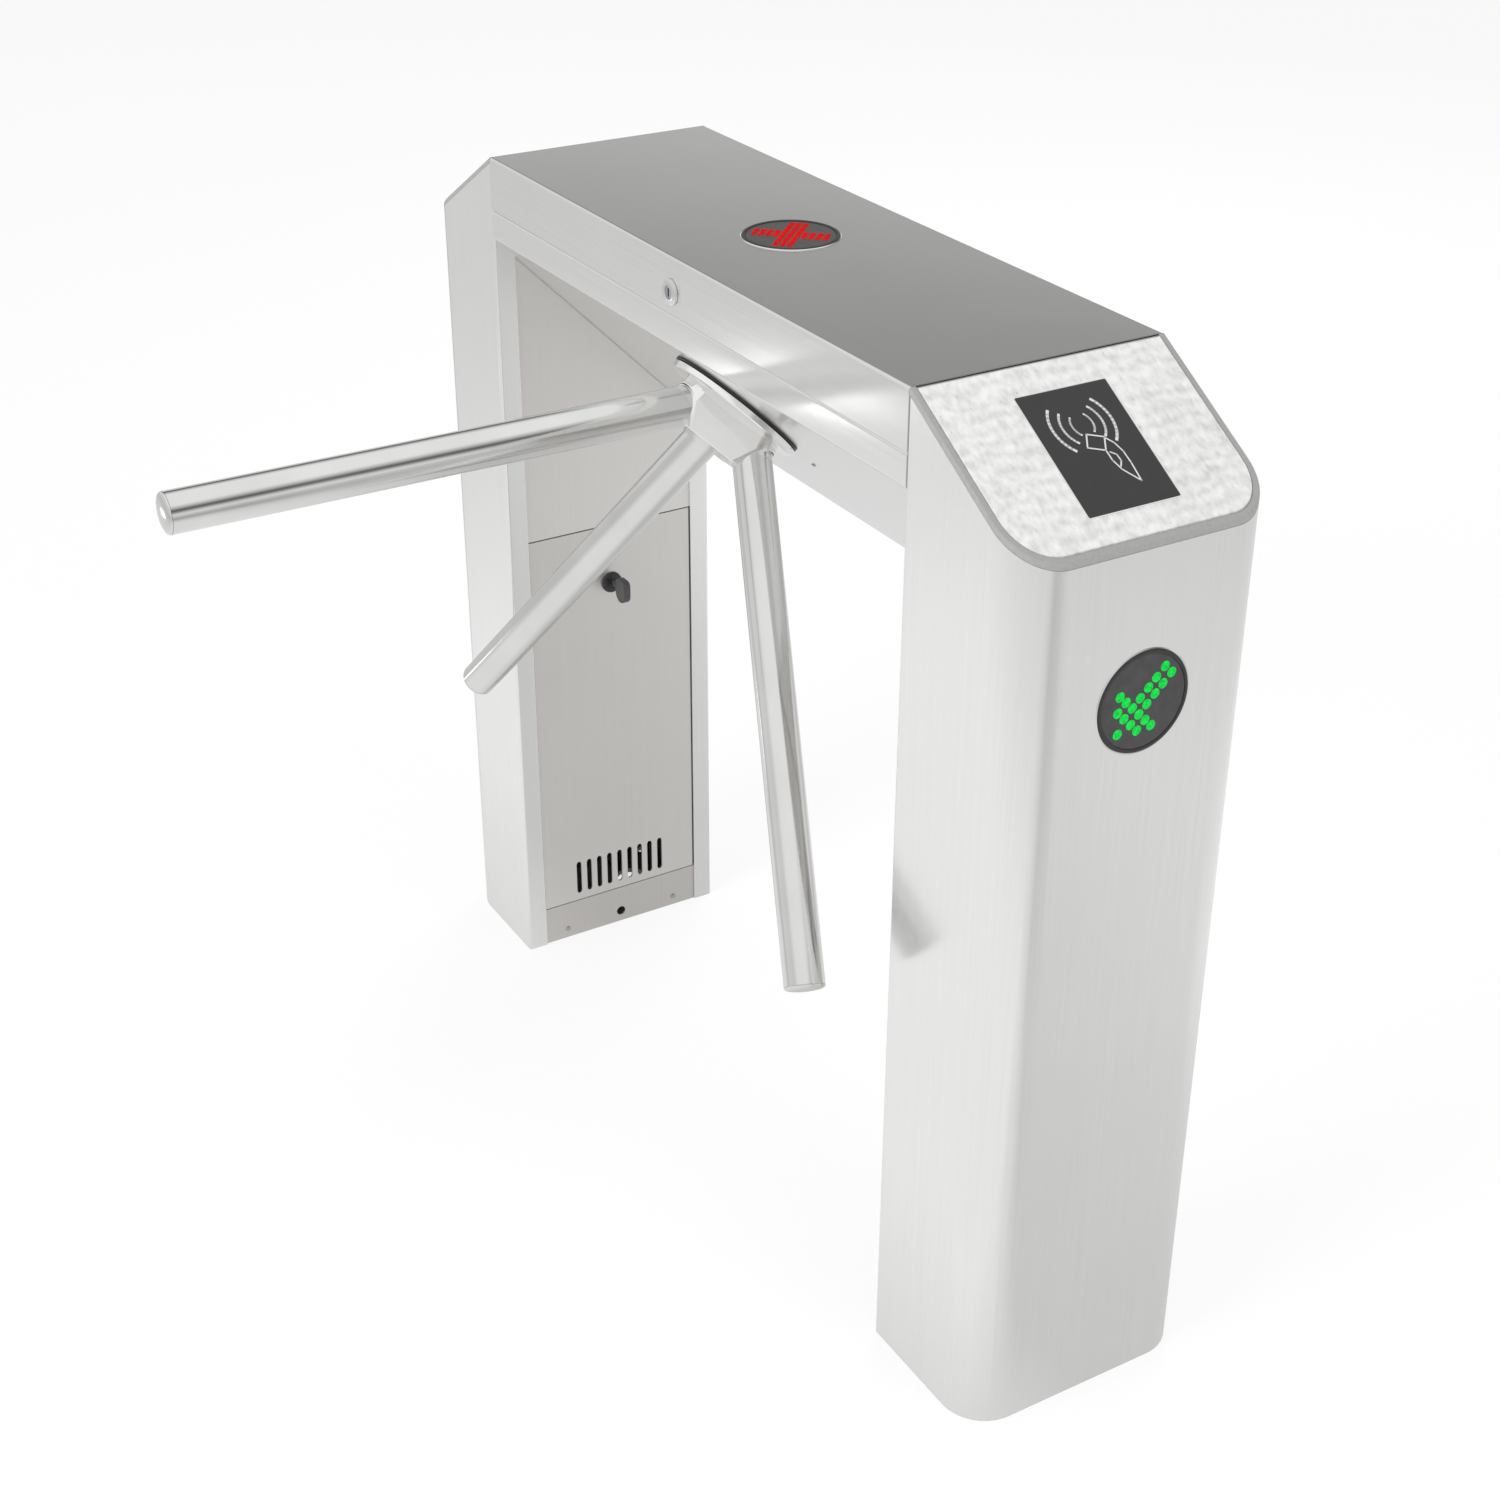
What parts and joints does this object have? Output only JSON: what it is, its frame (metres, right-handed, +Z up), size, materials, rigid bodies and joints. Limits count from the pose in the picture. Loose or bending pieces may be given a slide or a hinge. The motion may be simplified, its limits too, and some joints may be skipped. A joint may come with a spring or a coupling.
{
  "type": "tripod turnstile",
  "caption": "Waist-high tripod turnstile: stainless steel bridge cabinet with sloped reader ends, round indicators and a rotating barrier of slanted arms.",
  "frame": {"origin": "on the floor, under the middle of the whole outline", "axes": "+X along the cabinet towards the end nearer the picture's camera, -Y the way the level arm points, +Z up"},
  "size_m": [1.101, 0.7564, 0.983],
  "materials": {
    "satin_steel": "satin",
    "polished_steel": "polished",
    "grey_trim": "painted",
    "black_plastic": "satin",
    "machined_steel": "machined",
    "circuit_board": "matt"
  },
  "bodies": {
    "cabinet": {"far_leg_shell": "satin_steel", "far_base_plate": "machined_steel", "far_kick_plate": "satin_steel", "far_upper_panel": "satin_steel", "far_door_frame": "machined_steel", "far_slope_rim": "grey_trim", "far_slope_plate": "polished_steel", "far_reader": "black_plastic", "far_indicator_bezel": "polished_steel", "far_indicator_lens": "black_plastic", "near_leg_shell": "satin_steel", "near_base_plate": "machined_steel", "near_kick_plate": "satin_steel", "near_upper_panel": "satin_steel", "near_door_frame": "machined_steel", "near_slope_rim": "grey_trim", "near_slope_plate": "polished_steel", "near_reader": "black_plastic", "near_indicator_bezel": "polished_steel", "near_indicator_lens": "black_plastic", "bridge_shell": "satin_steel", "lid_hinge_fixed_leaf": "machined_steel", "hub_collar": "black_plastic", "mechanism_plate": "machined_steel", "bearing_housing": "machined_steel", "front_bearing": "polished_steel", "rear_bearing": "polished_steel", "damper_body": "black_plastic", "entry_solenoid": "black_plastic", "exit_solenoid": "black_plastic", "control_board": "circuit_board"},
    "tripod": {"hub": "polished_steel", "hub_bolt": "machined_steel", "main_shaft": "machined_steel", "level_arm": "polished_steel", "level_arm_cap": "polished_steel", "near_arm": "polished_steel", "near_arm_cap": "polished_steel", "far_arm": "polished_steel", "far_arm_cap": "polished_steel", "locking_disc": "machined_steel", "drive_gear": "machined_steel"},
    "damper": {"damper_pinion": "machined_steel"},
    "lid_cover": {"lid": "satin_steel", "lid_hinge_moving_leaf": "machined_steel", "lid_lock_housing": "polished_steel", "top_indicator_bezel": "polished_steel", "top_indicator_lens": "black_plastic"},
    "lid_cam": {"lid_lock_cam": "machined_steel"},
    "near_panel": {"near_door": "satin_steel", "near_door_lock_housing": "black_plastic"},
    "near_cam": {"near_door_lock_cam": "machined_steel"},
    "far_panel": {"far_door": "satin_steel", "far_door_lock_housing": "black_plastic"},
    "far_cam": {"far_door_lock_cam": "machined_steel", "far_door_key": "black_plastic"},
    "entry_catch": {"entry_pawl": "machined_steel"},
    "exit_catch": {"exit_pawl": "machined_steel"},
    "entry_push": {"entry_plunger": "machined_steel"},
    "exit_push": {"exit_plunger": "machined_steel"}
  },
  "joints": [
    {"name": "tripod_turn", "type": "hinge", "parent": "cabinet", "child": "tripod", "pos_m": [0, 0.18415, 0.8257], "axis": [0, -0.7071, -0.7071], "continuous": true},
    {"name": "damper_turn", "type": "hinge", "parent": "cabinet", "child": "damper", "pos_m": [0.064, 0.18415, 0.8257], "axis": [0, -0.7071, -0.7071], "continuous": true},
    {"name": "lid_lift", "type": "hinge", "parent": "cabinet", "child": "lid_cover", "pos_m": [0, 0.37416, 0.925], "axis": [-1, 0, 0], "range_deg": [0, 85]},
    {"name": "lid_lock_turn", "type": "hinge", "parent": "lid_cover", "child": "lid_cam", "pos_m": [0, 0.11486, 0.947], "axis": [0, -1, 0], "range_deg": [0, 90]},
    {"name": "near_door_tilt", "type": "hinge", "parent": "cabinet", "child": "near_panel", "pos_m": [0.3898, 0.24236, 0.0498], "axis": [0, -1, 0], "range_deg": [0, 30]},
    {"name": "near_lock_turn", "type": "hinge", "parent": "near_panel", "child": "near_cam", "pos_m": [0.3888, 0.24236, 0.4678], "axis": [1, 0, 0], "range_deg": [0, 90]},
    {"name": "far_door_tilt", "type": "hinge", "parent": "cabinet", "child": "far_panel", "pos_m": [-0.3898, 0.24236, 0.0498], "axis": [0, 1, 0], "range_deg": [0, 30]},
    {"name": "far_lock_turn", "type": "hinge", "parent": "far_panel", "child": "far_cam", "pos_m": [-0.3888, 0.24236, 0.4678], "axis": [1, 0, 0], "range_deg": [0, 90]},
    {"name": "entry_pawl_turn", "type": "hinge", "parent": "cabinet", "child": "entry_catch", "pos_m": [-0.074, 0.19256, 0.9077], "axis": [0, -0.7071, -0.7071], "range_deg": [0, 7], "stiffness_Nm_per_rad": 0.6, "springref_deg": -11.46},
    {"name": "exit_pawl_turn", "type": "hinge", "parent": "cabinet", "child": "exit_catch", "pos_m": [-0.074, 0.26616, 0.8341], "axis": [0, 0.7071, 0.7071], "range_deg": [0, 7], "stiffness_Nm_per_rad": 0.6, "springref_deg": -11.46},
    {"name": "entry_plunger_slide", "type": "slide", "parent": "cabinet", "child": "entry_push", "axis": [1, 0, 0], "range_m": [0, 0.00343]},
    {"name": "exit_plunger_slide", "type": "slide", "parent": "cabinet", "child": "exit_push", "axis": [1, 0, 0], "range_m": [0, 0.00343]}
  ],
  "couplings": [
    {"joint": "damper_turn", "follows": "tripod_turn", "ratio": -3},
    {"joint": "entry_plunger_slide", "follows": "entry_pawl_turn", "m_per_rad": 0.028},
    {"joint": "exit_plunger_slide", "follows": "exit_pawl_turn", "m_per_rad": 0.028}
  ]
}
